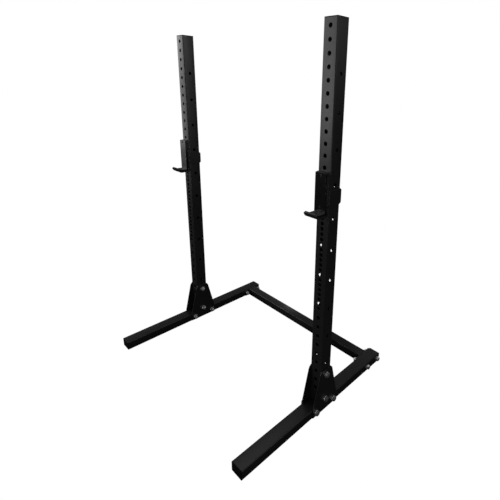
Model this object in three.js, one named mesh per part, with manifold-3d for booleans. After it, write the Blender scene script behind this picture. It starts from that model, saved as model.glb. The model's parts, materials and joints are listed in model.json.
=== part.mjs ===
import * as THREE from 'three';
import { mergeVertices } from 'three/addons/utils/BufferGeometryUtils.js';
import Module from 'manifold-3d';

// Squat stand: two drilled uprights bolted to floor feet by gusset plates, tied by a rear cross member,
// with a pinned J-cup hung on each upright.
// Millimetres. X runs across the stand, Y towards its back and Z up.
// The origin is on the floor, under the middle of the feet.

// Whole stand
const UPRIGHT_SPACING = 1150;
const UPRIGHT_LENGTH = 1817.4;
const FOOT_FRONT_REACH = 530;
const FOOT_REAR_REACH = 514;

// Clearance left between pieces that touch, and how far a cutter runs past what it cuts
const SEAT_GAP = 0.3;
const OVERRUN = 2;

// Tubes: the uprights and the feet share one width, because the gusset plates clamp both
const FRAME_WIDTH = 70;
const UPRIGHT_DEPTH = 70;
const FOOT_HEIGHT = 50;
const CROSS_WIDTH = 60;
const CROSS_HEIGHT = 50;
const TUBE_WALL = 3;
const TUBE_INNER_CORNER = 0.5;

// Plastic end caps
const CAP_THICKNESS = 3;
const CAP_PLUG_DEPTH = 10;
const CAP_PLUG_WALL = 2.5;

// Hole pattern of an upright: wide pitch at the top, half pitch through the bench zone, wide below
const HOLE_PITCH = 50.8;
const TOP_HOLE_DROP = 30;
const UPPER_HOLES = 15;
const BENCH_HOLES = 20;
const LOWER_HOLES = 9;
const BENCH_PITCH_SHARE = 0.5;
const SIDE_FIRST_PITCHES = 3.5;
const SIDE_STEP_PITCHES = 3;
const FRONT_HOLE_MARGIN = 60;
const SIDE_HOLE_MARGIN = 20;

// J-cup pin, and its clearance in the pattern's holes
const PIN_DIAMETER = 17.5;
const PIN_CLEARANCE = 1.5;
const PIN_REACH = 34;
const PIN_CHAMFER = 1.5;

// Hex bolts: one diameter, with head, nut and washer in proportion to it
const BOLT_DIAMETER = 16;
const BOLT_CLEARANCE = 1.5;
const BOLT_TAIL = 5;
const WASHER_THICKNESS = 3;
const WASHER_SHARE = 1.85;
const HEX_FLATS_SHARE = 1.5;
const HEAD_HEIGHT_SHARE = 0.625;
const NUT_HEIGHT_SHARE = 0.8;
const CROWN_TOP_SHARE = 0.93;
const CROWN_SLOPE = 0.42;

// Gusset plates, measured from the upright's middle line and the foot's top face
const GUSSET_THICKNESS = 5;
const GUSSET_FLOOR_GAP = 2;
const GUSSET_BASE_HALF = 92;
const GUSSET_SHOULDER_OVERHANG = 11;
const GUSSET_RISE = 200;
const GUSSET_CHAMFER_WIDTH = 12;
const GUSSET_CHAMFER_HEIGHT = 14;
const GUSSET_UPPER_BOLT = 168;
const GUSSET_LOWER_BOLT = 19;
const GUSSET_FOOT_BOLT_INSET = 26;
const PLATE_CORNER = 4;

// Cross member: its middle from the feet's rear ends, and the flange plates at its ends
const CROSS_INSET = 74;
const FLANGE_THICKNESS = 6;
const FLANGE_FLOOR_GAP = 2;
const FLANGE_BOLT_STANDOFF = 20;
const FLANGE_EDGE = 17.5;

// J-cups: which hole the pin sits in, and the bent steel hook measured from the pin's axis
const CUP_HOLE = 12;
const CUP_CLEARANCE = 0.8;
const CUP_PLATE = 10;
const CUP_RISE = 34;
const CUP_DROP = 162;
const CUP_HEEL_RADIUS = 4;
const CUP_SEAT_LENGTH = 46;
const CUP_LIP_RADIUS = 20;
const CUP_LIP_DEGREES = 68;
const CUP_LIP_END = 7;
const CUP_CORNER = 7;

// J-cup wrap: a bent plate down the upright's side and behind it
const WRAP_THICKNESS = 6;
const WRAP_SWING_CLEARANCE = 7;
const WRAP_HEIGHT = 73;
const WRAP_LAP = 5;
const WRAP_BEND_RADIUS = 2;
const WRAP_TAB_REACH = 30;
const WRAP_CHAMFER_HEIGHT = 10;
const WRAP_CHAMFER_LENGTH = 14;

// J-cup liners and their countersunk screws
const BACK_LINER_THICKNESS = 12;
const BACK_LINER_TOP_STEP = 1;
const SEAT_LINER_THICKNESS = 7;
const SEAT_LINER_DEGREES = 60;
const LINER_INSET = 4.5;
const LINER_CORNER = 3;
const SCREW_DIAMETER = 6;
const SCREW_HEAD_SHARE = 2;
const SCREW_HEAD_DEPTH_SHARE = 0.55;
const SCREW_SINK = 0.6;
const SCREW_END_GAP = 2;
const UPPER_SCREW_DROP = 12;
const LOWER_SCREW_RISE = 36;

// Counts of flat sides on round shapes, and of steps in a bend
const HOLE_SIDES = 8;
const SHANK_SIDES = 8;
const WASHER_SIDES = 12;
const HEX_SIDES = 6;
const CORNER_STEPS = 1;
const PLATE_STEPS = 2;
const BEND_STEPS = 4;

// Places that follow from the sizes above
const uprightX = UPRIGHT_SPACING / 2;
const uprightY = (FOOT_FRONT_REACH - FOOT_REAR_REACH) / 2;
const uprightBottom = FOOT_HEIGHT + SEAT_GAP;
const uprightTop = uprightBottom + UPRIGHT_LENGTH;
const topHole = uprightTop - TOP_HOLE_DROP;
const frameHalf = FRAME_WIDTH / 2;
const footMiddle = FOOT_HEIGHT / 2;
const tubeCorner = TUBE_INNER_CORNER + TUBE_WALL;
const patternHole = PIN_DIAMETER + PIN_CLEARANCE;
const boltHole = BOLT_DIAMETER + BOLT_CLEARANCE;
const gussetTop = FOOT_HEIGHT + GUSSET_RISE;
const gussetBoltHeights = [FOOT_HEIGHT + GUSSET_UPPER_BOLT, FOOT_HEIGHT + GUSSET_LOWER_BOLT];
const gussetBoltOffset = GUSSET_BASE_HALF - GUSSET_FOOT_BOLT_INSET;
const crossY = FOOT_REAR_REACH - CROSS_INSET;
const flangeBoltOffset = CROSS_WIDTH / 2 + FLANGE_BOLT_STANDOFF;

// J-cup places, from the pin's axis and the upright's middle
const cupHeight = topHole - CUP_HOLE * HOLE_PITCH;
const cupRear = -(UPRIGHT_DEPTH / 2 + CUP_CLEARANCE);
const cupFront = cupRear - CUP_PLATE;
const cupHalf = frameHalf + CUP_CLEARANCE - SEAT_GAP;
const cupFloor = CUP_PLATE - CUP_DROP;
const lipBend = THREE.MathUtils.degToRad(CUP_LIP_DEGREES);
const lipY = cupFront - CUP_SEAT_LENGTH;
const lipZ = cupFloor + CUP_LIP_RADIUS;
const backLinerRear = cupFront - SEAT_GAP;
const backLinerFront = backLinerRear - BACK_LINER_THICKNESS;
const linerHalf = cupHalf - LINER_INSET;
const seatTop = cupFloor + SEAT_GAP + SEAT_LINER_THICKNESS;
const backScrewHeights = [CUP_RISE - UPPER_SCREW_DROP, cupFloor + LOWER_SCREW_RISE];
const seatScrewY = (backLinerFront + lipY) / 2;
const wrapInside = frameHalf + CUP_CLEARANCE;
const wrapBack = UPRIGHT_DEPTH / 2 + CUP_CLEARANCE;
const wrapTop = -(frameHalf + WRAP_SWING_CLEARANCE);
const wrapBottom = wrapTop - WRAP_HEIGHT;
const wrapStart = cupRear - WRAP_LAP;

const xAxis = new THREE.Vector3(1, 0, 0);
const yAxis = new THREE.Vector3(0, 1, 0);
const zAxis = new THREE.Vector3(0, 0, 1);
const forward = yAxis.clone().negate();

const wasm = await Module();
wasm.setup();

// Geometry to solid and back

function toSolid(geometry) {
  const bare = geometry.clone();
  bare.deleteAttribute('normal');
  bare.deleteAttribute('uv');
  const merged = mergeVertices(bare);
  const vertProperties = new Float32Array(merged.attributes.position.array);
  const triVerts = new Uint32Array(merged.index.array);
  return new wasm.Manifold(new wasm.Mesh({ numProp: 3, vertProperties, triVerts }));
}

function toGeometry(solid) {
  const mesh = solid.getMesh();
  const geometry = new THREE.BufferGeometry();
  geometry.setAttribute('position', new THREE.BufferAttribute(mesh.vertProperties, mesh.numProp));
  geometry.setIndex(new THREE.BufferAttribute(mesh.triVerts, 1));
  geometry.computeVertexNormals();
  return geometry;
}

function cut(solid, cutters) {
  return cutters.reduce((rest, cutter) => rest.subtract(cutter), solid);
}

// Solids swept from an outline

function extrude(shape, depth, steps) {
  return new THREE.ExtrudeGeometry(shape, { depth, bevelEnabled: false, curveSegments: steps });
}

// An outline in X and Y, carried along Z
function sweepUp(shape, from, to, steps = CORNER_STEPS) {
  return toSolid(extrude(shape, to - from, steps).translate(0, 0, from));
}

// An outline in Y and Z, carried along X
function sweepAcross(shape, from, to, steps = CORNER_STEPS) {
  const turn = new THREE.Matrix4().makeBasis(yAxis, zAxis, xAxis);
  return toSolid(extrude(shape, to - from, steps).applyMatrix4(turn).translate(from, 0, 0));
}

// An outline in X and Z, carried along Y
function sweepBack(shape, from, to, steps = CORNER_STEPS) {
  const turn = new THREE.Matrix4().makeBasis(xAxis, zAxis, forward);
  return toSolid(extrude(shape, to - from, steps).applyMatrix4(turn).translate(0, to, 0));
}

// Round solids

// A bar along X
function barAcross(diameter, from, to, sides) {
  const bar = new THREE.CylinderGeometry(diameter / 2, diameter / 2, to - from, sides);
  return toSolid(bar.rotateZ(-Math.PI / 2).translate((from + to) / 2, 0, 0));
}

// A cutter that is centred on a place, with its flats outside its radius to keep the hole clear
function drill(axis, diameter, length, x, y, z) {
  const radius = diameter / 2 / Math.cos(Math.PI / HOLE_SIDES);
  const turn = new THREE.Quaternion().setFromUnitVectors(yAxis, axis);
  const bar = new THREE.CylinderGeometry(radius, radius, length, HOLE_SIDES);
  return toSolid(bar.applyQuaternion(turn).translate(x, y, z));
}

// A profile turned about Y
function turned(profile, sides, start = 0) {
  return new THREE.LatheGeometry(profile, sides, start);
}

function point(x, y) {
  return new THREE.Vector2(x, y);
}

// Outlines

function traceRectangle(path, width, height, corner) {
  const x = width / 2 - corner;
  const y = height / 2 - corner;
  const turn = Math.PI / 2;
  path.absarc(x, y, corner, 0, turn, false);
  path.absarc(-x, y, corner, turn, 2 * turn, false);
  path.absarc(-x, -y, corner, 2 * turn, 3 * turn, false);
  path.absarc(x, -y, corner, 3 * turn, 4 * turn, false);
  return path;
}

function roundedRectangle(width, height, corner) {
  return traceRectangle(new THREE.Shape(), width, height, corner);
}

// A rounded rectangle with a wall round an opening
function frameOutline(width, height, corner, wall, innerCorner) {
  const outline = roundedRectangle(width, height, corner);
  const inner = new THREE.Path();
  outline.holes.push(traceRectangle(inner, width - 2 * wall, height - 2 * wall, innerCorner));
  return outline;
}

function tubeOutline(width, height) {
  return frameOutline(width, height, tubeCorner, TUBE_WALL, TUBE_INNER_CORNER);
}

// A polygon with every corner cut back by the same length and curved
function roundedPolygon(points, corner) {
  const shape = new THREE.Shape();
  points.forEach((here, i) => {
    const before = points[(i + points.length - 1) % points.length];
    const after = points[(i + 1) % points.length];
    const start = before.clone().sub(here).setLength(corner).add(here);
    const end = after.clone().sub(here).setLength(corner).add(here);
    if (i === 0) shape.moveTo(start.x, start.y);
    else shape.lineTo(start.x, start.y);
    shape.quadraticCurveTo(here.x, here.y, end.x, end.y);
  });
  shape.closePath();
  return shape;
}

// A rounded polygon from the points of its positive half
function symmetricOutline(half, corner) {
  const other = half.map((here) => point(-here.x, here.y)).reverse();
  return roundedPolygon([...half, ...other], corner);
}

// Upright: a tube with the hole pattern through its front and back, and holes through its sides

function patternHeights() {
  const pitches = [];
  for (let i = 0; i < UPPER_HOLES; i += 1) pitches.push(i);
  for (let i = 0; i < BENCH_HOLES; i += 1) pitches.push(UPPER_HOLES + i * BENCH_PITCH_SHARE);
  const bench = pitches[pitches.length - 1];
  for (let i = 1; i <= LOWER_HOLES; i += 1) pitches.push(bench + i);
  const heights = pitches.map((pitch) => topHole - pitch * HOLE_PITCH);
  return heights.filter((height) => height > uprightBottom + FRONT_HOLE_MARGIN);
}

function sideHeights() {
  const heights = [];
  const step = SIDE_STEP_PITCHES * HOLE_PITCH;
  const lowest = gussetTop + SIDE_HOLE_MARGIN;
  for (let z = topHole - SIDE_FIRST_PITCHES * HOLE_PITCH; z > lowest; z -= step) heights.push(z);
  return heights;
}

function makeUpright() {
  const tube = sweepUp(tubeOutline(FRAME_WIDTH, UPRIGHT_DEPTH), uprightBottom, uprightTop);
  const through = UPRIGHT_DEPTH + OVERRUN;
  const across = FRAME_WIDTH + OVERRUN;
  const front = patternHeights().map((z) => drill(yAxis, patternHole, through, 0, 0, z));
  const sideBolts = [...sideHeights(), ...gussetBoltHeights];
  const sides = sideBolts.map((z) => drill(xAxis, boltHole, across, 0, 0, z));
  return cut(tube, [...front, ...sides]);
}

// Foot: a flat tube along Y, cross-drilled for the gusset bolts and the flange bolts

function makeFoot() {
  const front = CAP_THICKNESS + SEAT_GAP - FOOT_FRONT_REACH;
  const rear = FOOT_REAR_REACH - CAP_THICKNESS - SEAT_GAP;
  const tube = sweepBack(tubeOutline(FRAME_WIDTH, FOOT_HEIGHT), front, rear);
  const gussetBolts = [-gussetBoltOffset, gussetBoltOffset];
  const flangeBolts = [crossY - flangeBoltOffset, crossY + flangeBoltOffset];
  const across = FRAME_WIDTH + OVERRUN;
  return cut(tube, [...gussetBolts, ...flangeBolts].map((y) => drill(xAxis, boltHole, across, 0, y, 0)));
}

// End cap: a flange over the tube's end at Z zero, and a hollow plug inside the tube

function makeCap(width, height) {
  const recess = TUBE_WALL + SEAT_GAP;
  const plugWidth = width - 2 * recess;
  const plugHeight = height - 2 * recess;
  const corner = TUBE_INNER_CORNER;
  const plug = frameOutline(plugWidth, plugHeight, corner, CAP_PLUG_WALL, corner);
  const flange = sweepUp(roundedRectangle(width, height, tubeCorner), 0, CAP_THICKNESS);
  return flange.add(sweepUp(plug, -CAP_PLUG_DEPTH, CAP_THICKNESS / 2));
}

// Gusset plate: it covers the foot's side and tapers up the upright's side

function makeGusset() {
  const shoulder = UPRIGHT_DEPTH / 2 + GUSSET_SHOULDER_OVERHANG;
  const outline = symmetricOutline([
    point(GUSSET_BASE_HALF, GUSSET_FLOOR_GAP),
    point(GUSSET_BASE_HALF, FOOT_HEIGHT),
    point(shoulder, gussetTop - GUSSET_CHAMFER_HEIGHT),
    point(shoulder - GUSSET_CHAMFER_WIDTH, gussetTop),
  ], PLATE_CORNER);
  const plate = sweepAcross(outline, -GUSSET_THICKNESS / 2, GUSSET_THICKNESS / 2);
  const reach = GUSSET_THICKNESS + OVERRUN;
  const upper = gussetBoltHeights.map((z) => drill(xAxis, boltHole, reach, 0, 0, z));
  const front = drill(xAxis, boltHole, reach, 0, -gussetBoltOffset, footMiddle);
  const rear = drill(xAxis, boltHole, reach, 0, gussetBoltOffset, footMiddle);
  return cut(plate, [...upper, front, rear]);
}

// Cross member: an open tube between two flange plates

function makeCrossTube() {
  const end = uprightX - frameHalf - SEAT_GAP - FLANGE_THICKNESS - SEAT_GAP;
  return sweepAcross(tubeOutline(CROSS_WIDTH, CROSS_HEIGHT), -end, end);
}

function makeFlange() {
  const half = flangeBoltOffset + FLANGE_EDGE;
  const outline = symmetricOutline([
    point(half, FLANGE_FLOOR_GAP),
    point(half, FOOT_HEIGHT),
  ], PLATE_CORNER);
  const plate = sweepAcross(outline, -FLANGE_THICKNESS / 2, FLANGE_THICKNESS / 2);
  const reach = FLANGE_THICKNESS + OVERRUN;
  const front = drill(xAxis, boltHole, reach, 0, -flangeBoltOffset, footMiddle);
  const rear = drill(xAxis, boltHole, reach, 0, flangeBoltOffset, footMiddle);
  return cut(plate, [front, rear]);
}

// Bolt and nut with their washers: each faces +X, and X zero is the face that it clamps

const hexSeat = SEAT_GAP + WASHER_THICKNESS;
const headTop = hexSeat + BOLT_DIAMETER * HEAD_HEIGHT_SHARE;
const nutTop = hexSeat + BOLT_DIAMETER * NUT_HEIGHT_SHARE;

function makeWasher() {
  return barAcross(BOLT_DIAMETER * WASHER_SHARE, SEAT_GAP, hexSeat, WASHER_SIDES);
}

// A hexagon on the washer, with its outer corners taken off by a tapered crown
function makeHex(top) {
  const corner = (BOLT_DIAMETER * HEX_FLATS_SHARE) / Math.sqrt(3);
  const spread = 1 / Math.cos(Math.PI / HEX_SIDES);
  const wide = corner * spread + OVERRUN;
  const tip = corner * spread * CROWN_TOP_SHARE;
  const fall = (wide - tip) * CROWN_SLOPE;
  const crown = turned([
    point(0, 0),
    point(wide, 0),
    point(wide, top - fall),
    point(tip, top),
    point(0, top),
  ], HEX_SIDES, Math.PI / HEX_SIDES);
  const hex = barAcross(2 * corner, hexSeat - SEAT_GAP, top, HEX_SIDES);
  return hex.intersect(toSolid(crown.rotateZ(-Math.PI / 2)));
}

function makeBolt(grip) {
  const shank = barAcross(BOLT_DIAMETER, -grip - nutTop - BOLT_TAIL, hexSeat, SHANK_SIDES);
  return shank.add(makeWasher()).add(makeHex(headTop));
}

function makeNut() {
  const bore = drill(xAxis, BOLT_DIAMETER + 2 * SEAT_GAP, 2 * (nutTop + OVERRUN), 0, 0, 0);
  return cut(makeWasher().add(makeHex(nutTop)), [bore]);
}

// J-cup hook: one plate bent at the heel into a seat, and again into an upturned lip

function hookProfile() {
  const down = -Math.PI / 2;
  const tip = down - lipBend;
  const outer = CUP_LIP_RADIUS + CUP_PLATE;
  const heelY = cupFront - CUP_HEEL_RADIUS;
  const heelZ = cupFloor + CUP_HEEL_RADIUS;
  const endY = lipY + CUP_LIP_END * Math.sin(tip);
  const endZ = lipZ - CUP_LIP_END * Math.cos(tip);
  const profile = new THREE.Shape();
  profile.moveTo(cupRear, CUP_RISE);
  profile.lineTo(cupFront, CUP_RISE);
  profile.absarc(heelY, heelZ, CUP_HEEL_RADIUS, 0, down, true);
  profile.absarc(lipY, lipZ, CUP_LIP_RADIUS, down, tip, true);
  profile.lineTo(endY + CUP_LIP_RADIUS * Math.cos(tip), endZ + CUP_LIP_RADIUS * Math.sin(tip));
  profile.lineTo(endY + outer * Math.cos(tip), endZ + outer * Math.sin(tip));
  profile.absarc(lipY, lipZ, outer, tip, down, false);
  profile.absarc(heelY, heelZ, CUP_HEEL_RADIUS + CUP_PLATE, down, 0, false);
  profile.closePath();
  return profile;
}

// The hook's width from the front, with its corners rounded at a given top
function hookFrontOutline(top) {
  const low = -CUP_DROP - OVERRUN - CUP_CORNER;
  return symmetricOutline([point(cupHalf, low), point(cupHalf, top)], CUP_CORNER);
}

function makeHook() {
  const bent = sweepAcross(hookProfile(), -cupHalf, cupHalf, BEND_STEPS);
  const lipTop = lipZ - CUP_LIP_RADIUS * Math.cos(lipBend) + CUP_LIP_END * Math.sin(lipBend);
  const lipReach = lipY - CUP_LIP_RADIUS - CUP_PLATE - CUP_LIP_END;
  const plate = sweepBack(hookFrontOutline(CUP_RISE), lipY - OVERRUN, 0, PLATE_STEPS);
  const lip = sweepBack(hookFrontOutline(lipTop), lipReach, lipY, PLATE_STEPS);
  const middle = (cupRear + cupFront) / 2;
  const reach = CUP_PLATE + OVERRUN;
  const screwHole = SCREW_DIAMETER + 2 * SEAT_GAP;
  const pin = drill(yAxis, PIN_DIAMETER + 2 * SEAT_GAP, reach, 0, middle, 0);
  const back = backScrewHeights.map((z) => drill(yAxis, screwHole, reach, 0, middle, z));
  const seat = drill(zAxis, screwHole, reach, 0, seatScrewY, cupFloor - CUP_PLATE / 2);
  return cut(bent.intersect(plate.add(lip)), [pin, ...back, seat]);
}

// J-cup wrap: it stops the cup against the upright's side and back

function wrapPlanOutline() {
  const outside = wrapInside + WRAP_THICKNESS;
  const tabEnd = wrapInside - WRAP_TAB_REACH;
  const bendX = wrapInside - WRAP_BEND_RADIUS;
  const bendY = wrapBack - WRAP_BEND_RADIUS;
  const outline = new THREE.Shape();
  outline.moveTo(wrapInside, wrapStart);
  outline.lineTo(outside, wrapStart);
  outline.absarc(bendX, bendY, WRAP_BEND_RADIUS + WRAP_THICKNESS, 0, Math.PI / 2, false);
  outline.lineTo(tabEnd, wrapBack + WRAP_THICKNESS);
  outline.lineTo(tabEnd, wrapBack);
  outline.absarc(bendX, bendY, WRAP_BEND_RADIUS, Math.PI / 2, 0, true);
  outline.closePath();
  return outline;
}

// The wrap from the side, sloping in towards its rear tab at the top and the bottom
function wrapSideOutline() {
  const back = wrapBack + WRAP_THICKNESS;
  const slopeStart = back - WRAP_CHAMFER_LENGTH;
  const outline = new THREE.Shape();
  outline.moveTo(wrapStart - OVERRUN, wrapBottom);
  outline.lineTo(slopeStart, wrapBottom);
  outline.lineTo(back, wrapBottom + WRAP_CHAMFER_HEIGHT);
  outline.lineTo(back, wrapTop - WRAP_CHAMFER_HEIGHT);
  outline.lineTo(slopeStart, wrapTop);
  outline.lineTo(wrapStart - OVERRUN, wrapTop);
  outline.closePath();
  return outline;
}

function makeWrap() {
  const bent = sweepUp(wrapPlanOutline(), wrapBottom, wrapTop, PLATE_STEPS);
  const reach = wrapInside + WRAP_THICKNESS + OVERRUN;
  return bent.intersect(sweepAcross(wrapSideOutline(), -reach, reach));
}

// J-cup pin: set in the hook's plate and reaching back through the upright's front wall

function makePin() {
  const radius = PIN_DIAMETER / 2;
  const end = cupRear + PIN_REACH;
  return toSolid(turned([
    point(0, cupFront),
    point(radius, cupFront),
    point(radius, end - PIN_CHAMFER),
    point(radius - PIN_CHAMFER, end),
    point(0, end),
  ], WASHER_SIDES));
}

// Countersunk screw along Y, with its head's flat face at Y zero, or the larger shape that it needs cut

function makeScrew(length, extra) {
  const head = (SCREW_DIAMETER * SCREW_HEAD_SHARE) / 2 + extra;
  const shank = SCREW_DIAMETER / 2 + extra;
  return turned([
    point(0, -extra),
    point(head, -extra),
    point(head, 0),
    point(shank, SCREW_DIAMETER * SCREW_HEAD_DEPTH_SHARE + extra),
    point(shank, length),
    point(0, length),
  ], SHANK_SIDES);
}

function makeScrewCutter(liner) {
  return makeScrew(liner + OVERRUN, 2 * SEAT_GAP);
}

// A screw runs through its liner and stops short of the plate's far face
function screwLength(liner) {
  return liner - SCREW_SINK + SEAT_GAP + CUP_PLATE - SCREW_END_GAP;
}

// Back liner: a thick wear block on the plate's front face

function makeBackLiner() {
  const outline = symmetricOutline([
    point(linerHalf, cupFloor + CUP_HEEL_RADIUS + SEAT_GAP),
    point(linerHalf, CUP_RISE - BACK_LINER_TOP_STEP),
  ], LINER_CORNER);
  const block = sweepBack(outline, backLinerFront, backLinerRear);
  return cut(block, backScrewHeights.map((z) => {
    const cutter = makeScrewCutter(BACK_LINER_THICKNESS);
    return toSolid(cutter.translate(0, backLinerFront + SCREW_SINK, z));
  }));
}

// Seat liner: a bent wear strip on the seat and inside the lip

function seatLinerProfile() {
  const down = -Math.PI / 2;
  const tip = down - THREE.MathUtils.degToRad(SEAT_LINER_DEGREES);
  const outer = CUP_LIP_RADIUS - SEAT_GAP;
  const inner = outer - SEAT_LINER_THICKNESS;
  const profile = new THREE.Shape();
  profile.moveTo(backLinerFront - SEAT_GAP, lipZ - outer);
  profile.lineTo(backLinerFront - SEAT_GAP, lipZ - inner);
  profile.absarc(lipY, lipZ, inner, down, tip, true);
  profile.absarc(lipY, lipZ, outer, tip, down, false);
  profile.closePath();
  return profile;
}

function makeSeatLiner() {
  const strip = sweepAcross(seatLinerProfile(), -linerHalf, linerHalf, BEND_STEPS);
  const cutter = makeScrewCutter(SEAT_LINER_THICKNESS).rotateX(-Math.PI / 2);
  return cut(strip, [toSolid(cutter.translate(0, seatScrewY, seatTop - SCREW_SINK))]);
}

// Materials

function coat(color, roughness, metalness) {
  return () => new THREE.MeshStandardMaterial({ color, roughness, metalness });
}

const powderCoat = coat(0x1c1c1d, 0.55, 0.2);
const capPlastic = coat(0x121212, 0.6, 0);
const linerPlastic = coat(0x161616, 0.5, 0);
const zinc = coat(0xb9bdc1, 0.3, 0.9);
const blackOxide = coat(0x38383a, 0.4, 0.9);

// Assembly

const shapes = {
  upright: toGeometry(makeUpright()),
  foot: toGeometry(makeFoot()),
  uprightCap: toGeometry(makeCap(FRAME_WIDTH, UPRIGHT_DEPTH)),
  footCap: toGeometry(makeCap(FRAME_WIDTH, FOOT_HEIGHT)),
  gusset: toGeometry(makeGusset()),
  flange: toGeometry(makeFlange()),
  crossTube: toGeometry(makeCrossTube()),
  nut: toGeometry(makeNut()),
  hook: toGeometry(makeHook()),
  wrap: toGeometry(makeWrap()),
  pin: toGeometry(makePin()),
  backLiner: toGeometry(makeBackLiner()),
  seatLiner: toGeometry(makeSeatLiner()),
  backScrew: toGeometry(toSolid(makeScrew(screwLength(BACK_LINER_THICKNESS), 0))),
  seatScrew: toGeometry(toSolid(makeScrew(screwLength(SEAT_LINER_THICKNESS), 0).rotateX(-Math.PI / 2))),
};

function add(group, name, geometry, material, x, y, z) {
  const mesh = new THREE.Mesh(geometry, material());
  mesh.name = name;
  mesh.position.set(x, y, z);
  group.add(mesh);
  return mesh;
}

// A bolt through a foot or an upright, over plates of given thickness outside and inside
function addBolt(group, name, outward, outerPlate, innerPlate, y, z) {
  const outer = frameHalf + outerPlate;
  const inner = frameHalf + innerPlate;
  const bolt = toGeometry(makeBolt(outer + inner));
  const facing = outward > 0 ? 0 : Math.PI;
  add(group, name + '_bolt', bolt, zinc, outward * outer, y, z).rotation.z = facing;
  add(group, name + '_nut', shapes.nut, zinc, -outward * inner, y, z).rotation.z = Math.PI - facing;
}

function addFoot(side, prefix) {
  const front = CAP_THICKNESS - FOOT_FRONT_REACH;
  const rear = FOOT_REAR_REACH - CAP_THICKNESS;
  const tilt = Math.PI / 2;
  add(side, prefix + '_foot', shapes.foot, powderCoat, 0, 0, footMiddle);
  add(side, prefix + '_foot_front_cap', shapes.footCap, capPlastic, 0, front, footMiddle).rotation.x = tilt;
  add(side, prefix + '_foot_rear_cap', shapes.footCap, capPlastic, 0, rear, footMiddle).rotation.x = -tilt;
}

function addUpright(side, prefix) {
  add(side, prefix + '_upright', shapes.upright, powderCoat, 0, 0, 0);
  add(side, prefix + '_upright_cap', shapes.uprightCap, capPlastic, 0, 0, uprightTop + SEAT_GAP);
}

function addGussets(side, prefix, outward) {
  const x = outward * (frameHalf + SEAT_GAP + GUSSET_THICKNESS / 2);
  const plate = SEAT_GAP + GUSSET_THICKNESS;
  const [upper, lower] = gussetBoltHeights;
  add(side, prefix + '_outer_gusset', shapes.gusset, powderCoat, x, 0, 0);
  add(side, prefix + '_inner_gusset', shapes.gusset, powderCoat, -x, 0, 0);
  addBolt(side, prefix + '_gusset_upper', outward, plate, plate, 0, upper);
  addBolt(side, prefix + '_gusset_lower', outward, plate, plate, 0, lower);
  addBolt(side, prefix + '_gusset_front', outward, plate, plate, -gussetBoltOffset, footMiddle);
  addBolt(side, prefix + '_gusset_rear', outward, plate, plate, gussetBoltOffset, footMiddle);
}

function addFlange(side, prefix, outward) {
  const x = -outward * (frameHalf + SEAT_GAP + FLANGE_THICKNESS / 2);
  const plate = SEAT_GAP + FLANGE_THICKNESS;
  add(side, prefix + '_flange', shapes.flange, powderCoat, x, crossY, 0);
  addBolt(side, prefix + '_flange_front', outward, 0, plate, crossY - flangeBoltOffset, footMiddle);
  addBolt(side, prefix + '_flange_rear', outward, 0, plate, crossY + flangeBoltOffset, footMiddle);
}

// One side of the stand, on the outward side of the middle given by its sign
function makeSide(prefix, outward) {
  const side = new THREE.Group();
  addFoot(side, prefix);
  addUpright(side, prefix);
  addGussets(side, prefix, outward);
  addFlange(side, prefix, outward);
  side.position.set(outward * uprightX, uprightY, 0);
  return side;
}

// Both J-cups are the same piece, with the wrap on their +X side
function makeCup(prefix, outward) {
  const cup = new THREE.Group();
  const [upper, lower] = backScrewHeights;
  const backScrewY = backLinerFront + SCREW_SINK;
  const seatScrewZ = seatTop - SCREW_SINK;
  add(cup, prefix + '_jcup_hook', shapes.hook, powderCoat, 0, 0, 0);
  add(cup, prefix + '_jcup_wrap', shapes.wrap, powderCoat, 0, 0, 0);
  add(cup, prefix + '_jcup_pin', shapes.pin, zinc, 0, 0, 0);
  add(cup, prefix + '_jcup_back_liner', shapes.backLiner, linerPlastic, 0, 0, 0);
  add(cup, prefix + '_jcup_seat_liner', shapes.seatLiner, linerPlastic, 0, 0, 0);
  add(cup, prefix + '_jcup_upper_screw', shapes.backScrew, blackOxide, 0, backScrewY, upper);
  add(cup, prefix + '_jcup_lower_screw', shapes.backScrew, blackOxide, 0, backScrewY, lower);
  add(cup, prefix + '_jcup_seat_screw', shapes.seatScrew, blackOxide, 0, seatScrewY, seatScrewZ);
  cup.position.set(outward * uprightX, uprightY, cupHeight);
  return cup;
}

const stand = new THREE.Group();
stand.name = 'squat_stand';
stand.add(makeSide('right', 1), makeSide('left', -1), makeCup('right', 1), makeCup('left', -1));
add(stand, 'cross_tube', shapes.crossTube, powderCoat, 0, uprightY + crossY, CROSS_HEIGHT / 2);

export default stand;
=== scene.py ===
import json
import math

import bmesh
import bpy
from mathutils import Matrix, Vector


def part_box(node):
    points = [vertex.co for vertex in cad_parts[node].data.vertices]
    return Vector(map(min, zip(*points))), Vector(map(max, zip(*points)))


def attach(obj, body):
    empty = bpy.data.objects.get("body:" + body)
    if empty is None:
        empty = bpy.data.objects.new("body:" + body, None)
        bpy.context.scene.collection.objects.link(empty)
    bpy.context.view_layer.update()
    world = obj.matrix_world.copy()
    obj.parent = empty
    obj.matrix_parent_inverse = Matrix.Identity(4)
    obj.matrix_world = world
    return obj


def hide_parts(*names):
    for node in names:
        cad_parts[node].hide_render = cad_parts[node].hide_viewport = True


# Squat stand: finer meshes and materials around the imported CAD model, with its studio and camera.
# Metres, in the CAD model's frame: X across, Y towards the back, Z up from the floor.

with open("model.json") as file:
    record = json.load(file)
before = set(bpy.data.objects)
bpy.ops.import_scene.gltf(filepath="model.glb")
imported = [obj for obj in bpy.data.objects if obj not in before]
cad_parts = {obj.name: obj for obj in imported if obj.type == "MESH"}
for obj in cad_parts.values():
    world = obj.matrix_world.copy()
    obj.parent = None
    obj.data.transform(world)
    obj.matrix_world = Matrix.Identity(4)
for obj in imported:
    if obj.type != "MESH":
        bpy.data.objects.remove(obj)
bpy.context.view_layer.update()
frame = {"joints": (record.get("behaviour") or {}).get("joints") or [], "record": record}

MM = 0.001

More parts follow.
